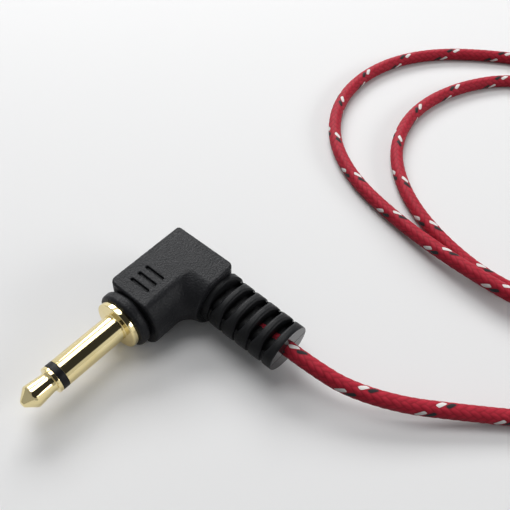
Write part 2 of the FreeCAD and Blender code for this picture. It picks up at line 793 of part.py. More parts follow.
def make_plug(side):
    """Every piece of one plug. Helper forms take the same prefix and aren't written out."""

    def name(piece):
        return side + "_" + piece

    bodies = [
        make_tip_contact(name("tip_contact")),
        make_contact_rod(name("contact_rod")),
        make_tip_ring(name("tip_ring")),
        make_insulating_tube(name("insulating_tube")),
        make_sleeve_contact(name("sleeve_contact")),
        make_rear_washer(name("rear_washer")),
        make_tip_terminal(name("tip_terminal")),
        make_ground_terminal(name("ground_terminal")),
        make_core_conductor(name("core_conductor")),
        make_jacket_end(name("cord_end")),
        make_strain_relief(name("strain_relief")),
    ]
    core = make_bent_wire(name("core_insulation"), "insulation_diameter", "elbow_distance",
                          "core_height", "0*1", "wire_bend", CORE_END)
    tail = make_bent_wire(name("shield_tail"), "shield_tail_diameter",
                          "elbow_distance-tail_offset", "-tail_drop", TAIL_LINE,
                          "tail_bend", GROUND_JOINT + "-0.6")
    tip_form = make_solder_form(name("tip_solder_form"), "XZ_Plane", "0*1", TIP_JOINT,
                                "tip_tongue_height", "tip_tongue_height-tip_solder_height")
    ground_form = make_solder_form(name("ground_solder_form"), "XY_Plane", "-tail_drop",
                                   GROUND_JOINT, "terminal_thickness-ground_tab_reach",
                                   "terminal_thickness-ground_tab_reach+ground_solder_height")
    block = make_inner_block(name("inner_block"))
    space = make_barrel_space(name("barrel_space"))
    form = make_body_form(name("body_form"))
    parts = dict((body.Label[len(side) + 1:], body) for body in bodies)
    tip_solder = cut_from(name("tip_solder"), tip_form, [parts["core_conductor"]])
    ground_solder = cut_from(name("ground_solder"), ground_form, [tail])
    inside = [
        parts["contact_rod"], parts["insulating_tube"], parts["rear_washer"],
        parts["tip_terminal"],
        parts["ground_terminal"], parts["core_conductor"], parts["cord_end"],
        core, tail, tip_form, ground_form, space,
    ]
    inner = cut_from(name("inner_mould"), block, inside)
    outside = [parts["sleeve_contact"], space, block, parts["strain_relief"], parts["cord_end"]]
    moulding = cut_from(name("body"), form, outside)
    helpers = [tip_form, ground_form, block, space, form]
    return bodies + [core, tail, tip_solder, ground_solder, inner, moulding], helpers


def cord_corners():
    """The corners of the cord's loose coil, from the near plug's relief to the far plug's."""
    table = -size("body_height") / 2
    low = table + size("cord_diameter") / 2
    elbow = size("elbow_distance")
    end = -size("relief_end")
    far_row = size("far_origin_along") - elbow
    far_start = size("far_origin_across") + end
    lead = size("cord_lead")
    first = [
        (elbow, end, 0), (elbow, end - lead, 0), (12.2, -25.9, -1.2), (14.9, -31.4, -2.6),
    ]
    outer_loop = [
        (18.7, -36.4, 0), (22.9, -42.3, 0), (28.8, -49.6, 0), (37, -58.6, 0),
        (47.2, -67.6, 0), (58.8, -75.4, 0), (71.5, -80.8, 0), (84, -81.4, 0),
        (94.2, -75.6, 0), (100, -65, 0), (101.5, -52, 0), (99.6, -39, 0),
        (96, -27, 0), (91.6, -15.8, 0), (85.6, -4.8, 0), (78, 3.8, 0),
        (68.4, 8.2, 0), (57.8, 8.1, 0), (48.6, 3.4, 0), (42.8, -4.6, 0),
        (40, -14.6, 0.1), (38, -24.6, 1.1), (37.6, -35.2, 1.6), (40.6, -46.8, 0.2),
        (48.2, -57.4, 0), (58.8, -66.2, 0), (71, -71.3, 0), (82.6, -70.4, 0),
        (90, -62.4, 0), (92, -50.6, 0), (90.6, -37.6, 0), (87.6, -24.6, 0),
        (82.6, -11.6, 0), (73.6, -5.4, 0), (63, -3, 0), (52.8, -5.6, 0),
        (45.4, -12.4, 0), (41, -21.2, 0), (39.2, -31.2, 0), (41.8, -41.2, 0),
    ]
    last = [
        (46.6, -49.9, -2.75), (52.6, -55, -1.5),
        (far_start - lead, far_row, 0), (far_start, far_row, 0),
    ]
    corners = first + [(across, along, low + lift) for across, along, lift in outer_loop]
    return [Vector(*corner) for corner in corners + last]


def cord_path(corners):
    """Straight runs joined by tangent arcs, and the arcs' radii."""
    edges = []
    radii = []
    place = corners[0]
    for before, corner, after in zip(corners[:-2], corners[1:-1], corners[2:]):
        back = before - corner
        ahead = after - corner
        reach = 0.45 * min(back.Length, ahead.Length)
        back.normalize()
        ahead.normalize()
        half_turn = (math.pi - back.getAngle(ahead)) / 2
        radius = reach / math.tan(half_turn)
        start = corner + back * reach
        stop = corner + ahead * reach
        inward = back + ahead
        inward.normalize()
        middle = corner + inward * (radius / math.cos(half_turn) - radius)
        edges.append(Part.LineSegment(place, start).toShape())
        edges.append(Part.Arc(start, middle, stop).toShape())
        radii.append(radius)
        place = stop
    edges.append(Part.LineSegment(place, corners[-1]).toShape())
    return Part.Wire(edges), radii


def make_cord():
    """The free cord between the strain reliefs, as one tube."""
    corners = cord_corners()
    path, radii = cord_path(corners)
    diameter = size("cord_diameter")
    circle = Part.Circle(corners[0], corners[1] - corners[0], diameter / 2)
    section = Part.Wire([circle.toShape()])
    tube = path.makePipeShell([section], True, False)
    volume = path.Length * math.pi * diameter ** 2 / 4
    print("cord length %.1f mm" % path.Length)
    print("cord bend radii %s" % " ".join("%.1f" % radius for radius in radii))
    print("cord volume %.1f mm3, section times length %.1f mm3" % (tube.Volume, volume))
    if abs(tube.Volume / volume - 1) > 0.01:
        raise RuntimeError("the cord's tube has the wrong volume")
    cord = doc.addObject("Part::Feature", "cord")
    cord.Label = "cord"
    cord.Shape = tube
    return cord


pieces, helpers = make_plug("near")
far_pieces, far_helpers = make_plug("far")
far_turn = Rotation(Vector(0, 0, 1), -90)
far_place = Placement(Vector(size("far_origin_across"), size("far_origin_along"), 0), far_turn)
for item in far_pieces + far_helpers:
    if item.TypeId == "PartDesign::Body":
        item.Placement = far_place
pieces = pieces + far_pieces + [make_cord()]
doc.recompute()

for item in doc.Objects:
    if "Invalid" in item.State or "Error" in item.State:
        raise RuntimeError("%s did not compute" % item.Label)
os.makedirs("parts", exist_ok=True)
for item in pieces:
    shape = item.Shape
    if shape.isNull() or not shape.isValid() or len(shape.Solids) != 1:
        raise RuntimeError("%s has no single sound solid" % item.Label)
    shape.exportStep("parts/%s.step" % item.Label)
print("pieces written: %d" % len(pieces))
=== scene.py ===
"""An instrument cable: a red braided cord with a moulded right-angle plug at each end.

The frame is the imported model's: metres, the near plug's tip towards -X, its cord out
towards -Y, and the table that it lies on at TABLE. Sizes are written in millimetres, which
MM turns into metres, and both plugs are made on the near plug's axes.
"""
import json
import math

import bpy
import bmesh
import numpy as np
from mathutils import Matrix, Vector


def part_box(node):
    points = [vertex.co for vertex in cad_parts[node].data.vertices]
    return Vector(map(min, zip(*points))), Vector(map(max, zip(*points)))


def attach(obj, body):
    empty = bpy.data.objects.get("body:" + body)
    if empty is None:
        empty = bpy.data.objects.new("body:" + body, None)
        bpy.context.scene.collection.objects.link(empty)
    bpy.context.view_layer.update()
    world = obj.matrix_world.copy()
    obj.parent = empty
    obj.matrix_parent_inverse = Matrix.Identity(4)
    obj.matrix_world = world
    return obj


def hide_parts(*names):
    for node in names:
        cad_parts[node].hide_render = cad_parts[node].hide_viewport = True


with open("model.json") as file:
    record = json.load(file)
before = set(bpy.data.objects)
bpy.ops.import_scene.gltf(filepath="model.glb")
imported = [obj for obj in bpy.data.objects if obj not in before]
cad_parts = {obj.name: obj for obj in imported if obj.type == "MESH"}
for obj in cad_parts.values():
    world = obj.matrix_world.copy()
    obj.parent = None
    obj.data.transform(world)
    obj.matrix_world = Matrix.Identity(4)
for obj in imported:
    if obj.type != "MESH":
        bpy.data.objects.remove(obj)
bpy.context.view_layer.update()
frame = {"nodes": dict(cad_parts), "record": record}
nodes = frame["nodes"]
MM = 0.001
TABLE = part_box("near_body")[0].z
BODY = "root"

# The cord and its braid.
CORD_DIAMETER = 2.0
LEAD_IN = 11.0
CARRIERS = 8
BRAID_TURN = 9.3
BRAID_START = 1.5
STRAND_RISE = 0.055
BRAID_AROUND = 48
RINGS_A_TURN = 36

# The turned contacts.
SLEEVE_RADIUS = 1.75
NOSE_RADIUS = 0.36
HEAD_RADIUS = 1.51
WAIST_RADIUS = 1.25
NECK_RADIUS = 1.36
FLANGE_RADIUS = 3.2
FLANGE_LIP_RADIUS = 3.05
WAIST_LENGTH = 2.4
NECK_LENGTH = 0.35
COLLAR_LENGTH = 0.45
RING_LENGTH = 0.9
FLANGE_THICKNESS = 0.83
FLANGE_LIP_LENGTH = 0.14
NOSE_CAP_RADIUS = 0.12
TIP_BORE_RADIUS = 0.8
SLEEVE_BORE_RADIUS = 1.4
FLANGE_BORE_RADIUS = 2.0
CONTACT_AROUND = 128

# The strain relief. It has its middle on the cord's line, and its places along that line
# are distances from the plug's axis.
CORD_LINE = 11.4
RELIEF_START = 6.0
RELIEF_END = 17.5
RELIEF_AROUND = 176
HALF_WIDTH = 3.5
HALF_HEIGHT = 2.5
TAPER = 0.12
TAPER_START = 8.0
LEAN = 0.17
COLLAR_RISE = 0.42
COLLAR_LEAN = 0.12
COLLAR_SLOPE = 0.16
FIRST_SLOT = 6.95
SLOT_WIDTH = 1.0
SLOT_PITCH = 2.1
SLOT_FLOORS = (1.25, 1.2, 1.1, 0.95, 0.86)
SLOT_REACH = 3.02
FLAT_FLOOR = 0.9
FLOOR_CURVE = 0.28
LEAST_FLOOR = 0.25
NARROWING_START = 1.7
NARROWING = 0.6
CROWN = 0.38
CROWN_REACH = 3.3
CROWN_FADE = 0.9
SIDE_NOTCH = 0.03
SIDE_WAVE = 0.085
END_EDGE = 0.05
CORD_HOLE_RADIUS = 1.02
CORD_HOLE_DEPTH = 0.8
PARTING_WIDTH = 0.12

# The place of the far plug's own axes.
FAR_PLUG = (80.1, -44.9, 0.0)
FAR_PLUG_TURN = -90.0

# The stage, in metres.
FLOOR_REACH = 3.0
FLOOR_LEVEL = 0.86
FLOOR_BOUNCE = 0.25
BACKDROP_LEVEL = 0.8
LAMPS_FADE_FROM = 0.22
LAMPS_FADE_TO = 0.6

# The light from all sides, and the room that metal and gloss reflect. The room's edges are
# on a sphere of radius 1, and its levels go from the left to the right.
SOFT_LEVEL = 0.2
DARK_LEVEL = 0.035
CEILING_SLANT = 0.35
CEILING_EDGE = (-0.02, 0.06)
CEILING_LEVELS = (0.35, 0.85)
WALL_TOP = (0.48, 0.41)
WALL_LEVELS = (0.4, 0.9)
ROOM_TINT = (0.97, 0.98, 1.0)

# The lamps: place, width and depth in metres, and power in watts.
LIT_MIDDLE = (0.012, -0.008, 0.0)
LAMPS = {
    "key": ((0.22, 0.28, 0.25), 0.34, 0.16, 1.35),
    "top": ((0.08, 0.12, 0.42), 0.3, 0.2, 0.6),
    "side": ((0.208, -0.303, 0.151), 0.2, 0.1, 0.4),
}

# The camera, found from the plug's own edges: its place, its angles in degrees and its lens.
CAMERA_PLACE = (-27.358, -42.207, 72.597)
CAMERA_HEADING = 38.192
CAMERA_TILT = -50.472
CAMERA_ROLL = 3.07
CAMERA_LENS = 50.516
SENSOR_WIDTH = 36.0

# Metals: colour, smudged colour, roughness, and the depth of the grain.
METALS = {
    "contact_gold": ((0.9, 0.77, 0.43), (0.86, 0.72, 0.37), 0.075, 0.001),
    "terminal_brass": ((0.72, 0.58, 0.32), (0.6, 0.46, 0.24), 0.3, 0.003),
    "copper": ((0.76, 0.42, 0.28), (0.6, 0.3, 0.18), 0.28, 0.003),
    "solder": ((0.72, 0.73, 0.74), (0.55, 0.56, 0.58), 0.32, 0.004),
}

# Plastics: colour, worn colour, roughness, the grain's depth and its cells a metre, and gloss.
PLASTICS = {
    "insulator_black": ((0.006, 0.006, 0.007), (0.009, 0.009, 0.01), 0.4, 0.003, 6000.0, 0.2),
    "insulator_pale": ((0.78, 0.77, 0.72), (0.7, 0.69, 0.63), 0.4, 0.003, 5000.0, 0.5),
    "inner_plastic": ((0.5, 0.49, 0.46), (0.42, 0.41, 0.39), 0.55, 0.006, 4000.0, 0.5),
    "body_pvc": ((0.0115, 0.012, 0.014), (0.0145, 0.015, 0.017), 0.43, 0.08, 4200.0, 0.17),
    "relief_pvc": ((0.009, 0.0095, 0.0105), (0.012, 0.0125, 0.0135), 0.42, 0.02, 5200.0, 0.15),
}
# The relief's flat end: glossy, and its colours a little lighter than the relief's own, painted
# light for the bright reflection on this face.
RELIEF_END_FINISH_AND_LIGHT = ((0.014, 0.015, 0.017), (0.018, 0.019, 0.021), 0.14, 0.001, 5200.0, 0.8)
PARTING_BLACK = (0.001, 0.001, 0.001)

# The braid's colours, with a darker red painted as shade in the gaps between the strands, and
# the threads in a strand.
RED = (0.4, 0.012, 0.03)
WORN_RED = (0.5, 0.022, 0.045)
GAP_SHADE_RED = (0.18, 0.006, 0.012)
TRACER_WHITE = (0.82, 0.8, 0.78)
TRACER_BLACK = (0.022, 0.02, 0.022)
THREADS = 5


# ---------------------------------------------------------------- shader helpers

def new_material(name):
    """A node material, its node tree and its shader."""
    material = bpy.data.materials.new(name)
    material.use_nodes = True
    tree = material.node_tree
    return material, tree, tree.nodes["Principled BSDF"]


def math_node(tree, operation, first, second=None, third=None):
    """The result of a Math node on sockets or plain numbers."""
    node = tree.nodes.new("ShaderNodeMath")
    node.operation = operation
    for socket, value in zip(node.inputs, (first, second, third)):
        if value is None:
            continue
        if isinstance(value, (int, float)):
            socket.default_value = value
        else:
            tree.links.new(value, socket)
    return node.outputs[0]


def between(tree, factor, first, second):
    """A colour mixed from two colours or sockets."""
    node = tree.nodes.new("ShaderNodeMix")
    node.data_type = "RGBA"
    tree.links.new(factor, node.inputs[0])
    for socket, value in ((node.inputs[6], first), (node.inputs[7], second)):
        if isinstance(value, tuple):
            socket.default_value = value + (1.0,)
        else:
            tree.links.new(value, socket)
    return node.outputs[2]


def noise(tree, cells, detail):
    """Noise on the piece's own place, with its cells a metre."""
    place = tree.nodes.new("ShaderNodeTexCoord")
    texture = tree.nodes.new("ShaderNodeTexNoise")
    texture.inputs["Scale"].default_value = cells
    texture.inputs["Detail"].default_value = detail
    tree.links.new(place.outputs["Object"], texture.inputs["Vector"])
    return texture.outputs["Fac"]


def ranged(tree, value, low, high, to_low, to_high):
    """A value moved from one range to another, and held inside it."""
    node = tree.nodes.new("ShaderNodeMapRange")
    tree.links.new(value, node.inputs["Value"])
    node.inputs["From Min"].default_value = low
    node.inputs["From Max"].default_value = high
    node.inputs["To Min"].default_value = to_low
    node.inputs["To Max"].default_value = to_high
    return node.outputs["Result"]


def bump(tree, shader, height, distance, strength=1.0):
    """Fine relief on the shader's normal, with its distance in metres."""
    node = tree.nodes.new("ShaderNodeBump")
    node.inputs["Strength"].default_value = strength
    node.inputs["Distance"].default_value = distance
    tree.links.new(height, node.inputs["Height"])
    tree.links.new(node.outputs["Normal"], shader.inputs["Normal"])


def separated(tree, coordinates):
    """The X, Y and Z of one of the texture coordinates."""
    place = tree.nodes.new("ShaderNodeTexCoord")
    split = tree.nodes.new("ShaderNodeSeparateXYZ")
    tree.links.new(place.outputs[coordinates], split.inputs["Vector"])
    return split.outputs


# ---------------------------------------------------------------- materials

def make_metal(name, colour, smudged, roughness, grain):
    """Plated or bare metal with faint turning marks and smudges."""
    material, tree, shader = new_material(name)
    shader.inputs["Metallic"].default_value = 1.0
    smudges = ranged(tree, noise(tree, 420.0, 4.0), 0.35, 0.7, 0.0, 1.0)
    tree.links.new(between(tree, smudges, colour, smudged), shader.inputs["Base Color"])
    marks = noise(tree, 2600.0, 3.0)
    tree.links.new(ranged(tree, marks, 0.3, 0.7, roughness * 0.75, roughness * 1.35),
                   shader.inputs["Roughness"])
    bump(tree, shader, noise(tree, 9000.0, 2.0), grain * MM)
    return material


def make_plastic(name, colour, worn, roughness, grain, cells, gloss):
    """Moulded plastic with a fine matte grain."""
    material, tree, shader = new_material(name)
    shader.inputs["Specular IOR Level"].default_value = gloss
    patches = ranged(tree, noise(tree, 260.0, 3.0), 0.35, 0.65, 0.0, 1.0)
    tree.links.new(between(tree, patches, colour, worn), shader.inputs["Base Color"])
    fine = noise(tree, cells, 2.0)
    tree.links.new(ranged(tree, fine, 0.3, 0.7, roughness * 0.85, roughness * 1.15),
                   shader.inputs["Roughness"])
    bump(tree, shader, fine, grain * MM)
    return material


def make_relief_end():
    """The strain relief's flat end, glossy from the mould's face and a little lighter than the
    rest of the relief, painted light for its reflection, with the dark line across it where the
    mould parts."""
    material = make_plastic("relief_end", *RELIEF_END_FINISH_AND_LIGHT)
    tree = material.node_tree
    shader = tree.nodes["Principled BSDF"]
    level = math_node(tree, "ABSOLUTE", separated(tree, "Object")["Z"])
    parting = math_node(tree, "LESS_THAN", level, PARTING_WIDTH / 2 * MM)
    colour = shader.inputs["Base Color"].links[0].from_socket
    tree.links.new(between(tree, parting, colour, PARTING_BLACK), shader.inputs["Base Color"])
    smooth = shader.inputs["Roughness"].links[0].from_socket
    tree.links.new(math_node(tree, "MAXIMUM", smooth, parting), shader.inputs["Roughness"])
    return material


def make_materials():
    """A material for each of the record's slots but the braid's."""
    materials = {slot: make_metal(slot, *finish) for slot, finish in METALS.items()}
    for slot, finish in PLASTICS.items():
        materials[slot] = make_plastic(slot, *finish)
    return materials


def make_braid():
    """Red braid with one white and one black strand side by side. Its UV map gives the share
    of a turn around the cord and the strands' turns along it."""
    material, tree, shader = new_material("braid")
    uv = tree.nodes.new("ShaderNodeUVMap")
    uv.uv_map = "braid"
    split = tree.nodes.new("ShaderNodeSeparateXYZ")
    tree.links.new(uv.outputs["UV"], split.inputs["Vector"])
    around = math_node(tree, "MULTIPLY", split.outputs["X"], CARRIERS)
    along = math_node(tree, "MULTIPLY", split.outputs["Y"], CARRIERS)
    left = math_node(tree, "SUBTRACT", around, along)
    right = math_node(tree, "ADD", around, along)
    left_strand = math_node(tree, "FLOOR", left)
    right_strand = math_node(tree, "FLOOR", right)
    strands = math_node(tree, "ADD", left_strand, right_strand)
    cell = math_node(tree, "FLOORED_MODULO", strands, 4.0)
    right_over = math_node(tree, "GREATER_THAN", cell, 1.5)
    left_part = math_node(tree, "SUBTRACT", left, left_strand)
    right_part = math_node(tree, "SUBTRACT", right, right_strand)

    def on_top(if_left, if_right):
        gap = math_node(tree, "SUBTRACT", if_right, if_left)
        return math_node(tree, "MULTIPLY_ADD", right_over, gap, if_left)

    across = on_top(left_part, right_part)
    left_ahead = math_node(tree, "ADD", cell, right_part)
    right_ahead = math_node(tree, "SUBTRACT", math_node(tree, "ADD", cell, left_part), 2.0)
    ahead = on_top(left_ahead, right_ahead)
    offset = math_node(tree, "SUBTRACT", across, 0.5)
    squared = math_node(tree, "MULTIPLY", offset, offset)
    crown = math_node(tree, "MULTIPLY_ADD", squared, -4.0, 1.0)
    arch = math_node(tree, "SINE", math_node(tree, "MULTIPLY", ahead, math.pi / 2))
    height = math_node(tree, "MULTIPLY", crown, math_node(tree, "POWER", arch, 0.5))
    strand = math_node(tree, "FLOORED_MODULO", right_strand, float(CARRIERS))
    rounded = ranged(tree, height, 0.18, 0.42, 0.0, 1.0)
    tracer = math_node(tree, "MULTIPLY", right_over, rounded)
    white = math_node(tree, "MULTIPLY", tracer, math_node(tree, "LESS_THAN", strand, 0.5))
    black = math_node(tree, "MULTIPLY", tracer, math_node(tree, "COMPARE", strand, 1.0, 0.25))
    patches = ranged(tree, noise(tree, 900.0, 3.0), 0.3, 0.7, 0.0, 1.0)
    # Painted shade: the red darkens towards the deep red in the low gaps between the strands.
    gap_shade = ranged(tree, height, 0.0, 0.6, 0.55, 0.0)
    red = between(tree, gap_shade, between(tree, patches, RED, WORN_RED), GAP_SHADE_RED)
    with_white = between(tree, white, red, TRACER_WHITE)
    tree.links.new(between(tree, black, with_white, TRACER_BLACK), shader.inputs["Base Color"])
    shader.inputs["Roughness"].default_value = 0.6
    shader.inputs["Specular IOR Level"].default_value = 0.2
    shader.inputs["Sheen Weight"].default_value = 0.08
    shader.inputs["Sheen Roughness"].default_value = 0.4
    threads = math_node(tree, "SINE", math_node(tree, "MULTIPLY", across, 2 * math.pi * THREADS))
    fine = math_node(tree, "MULTIPLY_ADD", threads, 0.12, height)
    bump(tree, shader, fine, 0.03 * MM, 0.6)
    return material


# ---------------------------------------------------------------- meshes

def link(thing):
    """Put an object into the scene."""
    bpy.context.scene.collection.objects.link(thing)
    return thing


def tube_mesh(name, points, around):
    """A closed skin over rings of points, in metres, with a flat face at both ends."""
    last = len(points) - around
    faces = []
    for first in range(0, last, around):
        for index in range(around):
            after = (index + 1) % around
            faces.append((first + index, first + after,
                          first + around + after, first + around + index))
    faces.append(tuple(reversed(range(around))))
    faces.append(tuple(range(last, last + around)))
    mesh = bpy.data.meshes.new(name)
    mesh.from_pydata(points, [], faces)
    return mesh


def finish_mesh(mesh, material, crease):
    """Faces turned outwards, smooth shading up to the crease's angle, and a material."""
    shape = bmesh.new()
    shape.from_mesh(mesh)
    bmesh.ops.recalc_face_normals(shape, faces=shape.faces)
    shape.to_mesh(mesh)
    shape.free()
    for polygon in mesh.polygons:
        polygon.use_smooth = True
    mesh.set_sharp_from_angle(angle=math.radians(crease))
    mesh.materials.append(material)


# ---------------------------------------------------------------- the cord

def route_points():
    """The cord's route from the near strain relief to the far one, in metres."""
    resting = TABLE / MM + CORD_DIAMETER / 2
    start = [
        (11.4, -17.5, 0), (11.4, -21.4, 0), (12.2, -25.9, -0.7), (15.1, -31.6, -1.6),
    ]
    on_table = [
        (19, -36.8, 0.55), (23.3, -42.6, 0.15), (29, -49.8, 0), (37, -58.6, 0),
        (47.2, -67.6, 0), (58.8, -75.4, 0), (71.5, -80.8, 0), (84, -81.4, 0),
        (94.2, -75.6, 0), (100, -65, 0), (101.5, -52, 0), (99.6, -39, 0),
        (96, -27, 0), (91.6, -15.8, 0), (85.6, -4.8, 0), (78, 3.8, 0),
        (68.4, 8.2, 0), (57.8, 8.1, 0), (48.6, 3.4, 0), (42.8, -4.6, 0),
        (40, -14.6, 0.1), (38, -24.6, 1.1), (37.6, -35.2, 1.6), (40.6, -46.8, 0.2),
        (48.2, -57.4, 0), (58.8, -66.2, 0), (71, -71.3, 0), (82.6, -70.4, 0),
        (90, -62.4, 0), (92, -50.6, 0), (90.6, -37.6, 0), (87.6, -24.6, 0),
        (82.6, -11.6, 0), (73.6, -5.4, 0), (63, -3, 0), (52.8, -5.6, 0),
        (45.4, -12.4, 0), (41, -21.2, 0), (39.2, -31.2, 0), (41.8, -41.2, 0),
    ]
    end = [
        (46.6, -49.9, -2.75), (52.6, -55, -1.5), (58.7, -56.3, 0), (62.6, -56.3, 0),
    ]
    lifted = [(across, along, resting + lift) for across, along, lift in on_table]
    return [Vector(point) * MM for point in start + lifted + end]


def smooth_line(points):
    """Points along the NURBS curve that has the route as its control points."""
    curve = bpy.data.curves.new("cord_line", "CURVE")
    curve.dimensions = "3D"
    spline = curve.splines.new("NURBS")
    spline.points.add(len(points) - 1)
    for point, place in zip(spline.points, points):
        point.co = (*place, 1.0)
    spline.order_u = 3
    spline.use_endpoint_u = True
    curve.resolution_u = 24
    holder = link(bpy.data.objects.new("cord_line", curve))
    mesh = bpy.data.meshes.new_from_object(holder)
    line = np.array([vertex.co for vertex in mesh.vertices])
    bpy.data.meshes.remove(mesh)
    bpy.data.objects.remove(holder)
    bpy.data.curves.remove(curve)
    return line


def with_ends(line, reach):
    """The line with a straight stretch at both ends, which lies inside the strain reliefs."""
    start = line[0] - line[1]
    end = line[-1] - line[-2]
    first = line[0] + start / np.linalg.norm(start) * reach
    last = line[-1] + end / np.linalg.norm(end) * reach
    return np.vstack([first, line, last])


def evenly(line, step):
    """The same line with points at an even distance, and the distance of each."""
    lengths = np.concatenate([[0.0], np.cumsum(np.linalg.norm(np.diff(line, axis=0), axis=1))])
    count = int(round(lengths[-1] / step))
    along = np.linspace(0.0, lengths[-1], count + 1)
    places = np.stack([np.interp(along, lengths, line[:, axis]) for axis in range(3)], axis=1)
    return places, along


def braid_height(turns, angle):
    """How far the strand on top stands above the braid's base, from 0 to 1."""
    left = CARRIERS * (angle / (2 * np.pi) - turns)
    right = CARRIERS * (angle / (2 * np.pi) + turns)
    cell = np.mod(np.floor(left) + np.floor(right), 4)
    left_over = cell < 2
    across = np.where(left_over, np.mod(left, 1), np.mod(right, 1))
    ahead = np.where(left_over, cell + np.mod(right, 1), cell - 2 + np.mod(left, 1)) / 2
    crown = np.sqrt(np.clip(1 - (2 * across - 1) ** 2, 0, 1))
    return crown * np.sqrt(np.clip(np.sin(np.pi * ahead), 0, 1))


def braided_points(places, turns):
    """Rings of points around the line, raised where a strand is on top."""
    headings = np.gradient(places, axis=0)
    headings /= np.linalg.norm(headings, axis=1)[:, None]
    up = np.array([0.0, 0.0, 1.0])
    tops = up - headings * (headings @ up)[:, None]
    tops /= np.linalg.norm(tops, axis=1)[:, None]
    sides = np.cross(headings, tops)
    angles = np.arange(BRAID_AROUND) * 2 * np.pi / BRAID_AROUND
    rise = braid_height(turns[:, None], angles[None, :])
    radii = (CORD_DIAMETER / 2 - STRAND_RISE + STRAND_RISE * rise) * MM
    rings = (places[:, None, :]
             + radii[:, :, None] * np.cos(angles)[None, :, None] * tops[:, None, :]
             + radii[:, :, None] * np.sin(angles)[None, :, None] * sides[:, None, :])
    return rings.reshape(-1, 3).tolist()


def map_braid(mesh, turns):
    """The UV map that the braid's material reads."""
    rows = len(turns) - 1
    ring = np.arange(BRAID_AROUND)
    corner_angle = np.stack([ring, ring + 1, ring + 1, ring], axis=1)[None, :, :] / BRAID_AROUND
    corner_angle = np.broadcast_to(corner_angle, (rows, BRAID_AROUND, 4))
    corner_along = np.stack([turns[:-1], turns[:-1], turns[1:], turns[1:]], axis=1)
    corner_along = np.broadcast_to(corner_along[:, None, :], (rows, BRAID_AROUND, 4))
    sides = np.stack([corner_angle, corner_along], axis=3).reshape(-1)
    corners = np.zeros(len(mesh.loops) * 2)
    corners[:len(sides)] = sides
    layer = mesh.uv_layers.new(name="braid")
    layer.data.foreach_set("uv", corners)


def make_cord():
    """The braided cord, as one tube whose surface has the braid's strands."""
    line = with_ends(smooth_line(route_points()), LEAD_IN * MM)
    places, along = evenly(line, BRAID_TURN * MM / RINGS_A_TURN)
    turns = (along / MM - BRAID_START) / BRAID_TURN
    mesh = tube_mesh("cord_braid", braided_points(places, turns), BRAID_AROUND)
    map_braid(mesh, turns)
    for polygon in mesh.polygons:
        polygon.use_smooth = len(polygon.vertices) == 4
    mesh.materials.append(make_braid())
    braid = link(bpy.data.objects.new("cord_braid", mesh))
    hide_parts("cord", "near_cord_end", "far_cord_end")
    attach(braid, BODY)


# ---------------------------------------------------------------- the strain relief

def held(share):
    """A share held between 0 and 1."""
    return min(max(share, 0.0), 1.0)


def slot_middle(slot):
    """The middle of a slot, along the cord's line."""
    return FIRST_SLOT + slot * SLOT_PITCH + SLOT_WIDTH / 2


def relief_stations():
    """Places along the strain relief: (along, slot or None, distance to a rib's edge)."""
    on_rib = (0.44, 0.36, 0.28, 0.21, 0.15, 0.09, 0.045, 0.015, 0.0)
    in_slot = (0.0, 0.06, 0.18, 0.34, 0.5, 0.66, 0.82, 0.94, 1.0)
    stations = [(along, None, CROWN) for along in (RELIEF_START, RELIEF_START + 0.3)]
    for slot in range(len(SLOT_FLOORS)):
        start = FIRST_SLOT + slot * SLOT_PITCH
        stop = start + SLOT_WIDTH
        stations += [(start - gap, None, gap) for gap in on_rib]
        stations += [(start + share * SLOT_WIDTH, slot, 0.0) for share in in_slot]
        stations += [(stop + gap, None, gap) for gap in reversed(on_rib)]
    stations += [(along, None, CROWN) for along in (RELIEF_END - 0.5, RELIEF_END - END_EDGE)]
    return stations


def slot_narrowing(reach):
    """A slot's width at a reach from the relief's middle, as a share of its full width."""
    end = held((reach - NARROWING_START) / (SLOT_REACH - NARROWING_START))
    return 1.0 - NARROWING * end ** 2


def relief_point(station, angle):
    """A point of the strain relief's skin."""
    along, slot, edge = station
    run = held((along - TAPER_START) / (RELIEF_END - TAPER_START))
    height = HALF_HEIGHT
    lean = LEAN * (1.0 - run)
    if along < FIRST_SLOT:
        swell = min((FIRST_SLOT - along) / COLLAR_SLOPE, 1.0)
        height += COLLAR_RISE * swell
        lean += COLLAR_LEAN * swell
    across = (HALF_WIDTH - TAPER * run) * math.cos(angle)
    lift = height * abs(math.sin(angle))
    reach = abs(across)
    if slot is None:
        gap = max(CROWN - edge, 0.0)
        drop = CROWN - math.sqrt(CROWN ** 2 - gap ** 2)
        lift -= held((CROWN_REACH - reach) / CROWN_FADE) * drop
        across *= 1.0 - SIDE_NOTCH * drop / CROWN
    else:
        share = (along - slot_middle(slot)) / SLOT_WIDTH
        wave = SIDE_WAVE * max(math.cos(math.pi * share), 0.0) ** 0.7
        if reach < SLOT_REACH:
            floor = SLOT_FLOORS[slot] - FLOOR_CURVE * max(reach - FLAT_FLOOR, 0.0) ** 2
            lift = min(max(floor, LEAST_FLOOR), lift)
        across *= 1.0 - SIDE_NOTCH - wave
    nearest = round((along - slot_middle(0)) / SLOT_PITCH)
    middle = slot_middle(min(max(nearest, 0), len(SLOT_FLOORS) - 1))
    away = abs(along - middle)
    pull = held((SLOT_PITCH / 2 - away) / (SLOT_PITCH / 2 - SLOT_WIDTH / 2))
    along = middle + (along - middle) * (1.0 - pull * (1.0 - slot_narrowing(reach)))
    return (CORD_LINE + lean + across, -along, math.copysign(lift, math.sin(angle)))


